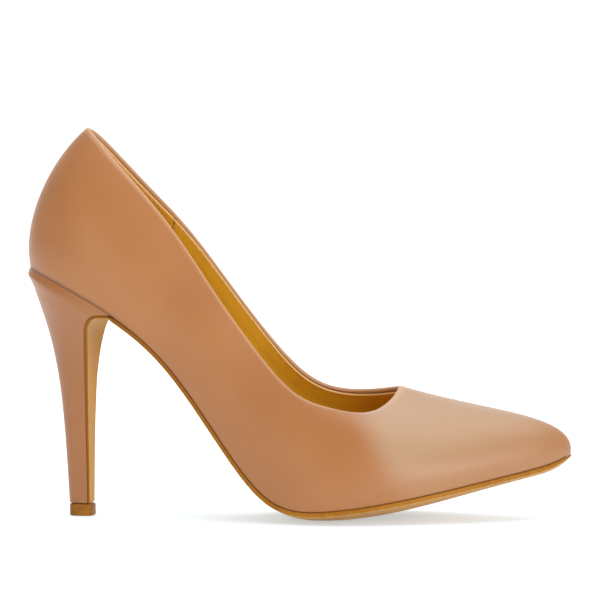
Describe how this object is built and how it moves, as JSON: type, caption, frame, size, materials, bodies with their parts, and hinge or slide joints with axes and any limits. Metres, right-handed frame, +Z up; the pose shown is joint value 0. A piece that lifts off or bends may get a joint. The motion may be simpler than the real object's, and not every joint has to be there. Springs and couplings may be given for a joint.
{
  "type": "high heel pump",
  "caption": "Right-foot court shoe with a pointed almond toe, smooth leather upper, covered stem heel and a leather sole that runs down the heel breast.",
  "frame": {"origin": "middle of the bounding box at the floor", "axes": "+X towards the toe, +Y towards the inner side of the foot, +Z up"},
  "size_m": [0.2187, 0.0736, 0.1562],
  "materials": {
    "nude_leather": "smooth grain, soft sheen",
    "heel_leather": "smooth grain, soft sheen",
    "gold_lining": "thin, slightly burnished",
    "sole_leather": "burnished tread and edge",
    "tan_rubber": "dense, matte",
    "fibre_board": "pressed fibre",
    "stiffener": "dull non-woven sheet",
    "foam": "open soft foam",
    "white_plastic": "as moulded",
    "spring_steel": "blued, dull",
    "bright_steel": "plain"
  },
  "bodies": {
    "root": {"upper": "nude_leather", "vamp_lining": "gold_lining", "heel_grip": "gold_lining", "toe_puff": "stiffener", "heel_counter": "stiffener", "topline_tape": "stiffener", "insole_board": "fibre_board", "shank_board": "fibre_board", "steel_shank": "spring_steel", "heel_screw": "bright_steel", "heel_nail_1": "bright_steel", "heel_nail_2": "bright_steel", "heel_nail_3": "bright_steel", "heel_nail_4": "bright_steel", "shank_rivet_rear": "bright_steel", "shank_rivet_front": "bright_steel", "bottom_filler": "foam", "heel_pad": "foam", "forefoot_cushion": "foam", "sock_lining": "gold_lining", "heel_block": "white_plastic", "heel_pin": "spring_steel", "heel_cover": "heel_leather", "top_lift_dowel": "bright_steel", "top_lift": "tan_rubber", "outsole": "sole_leather"}
  },
  "joints": []
}
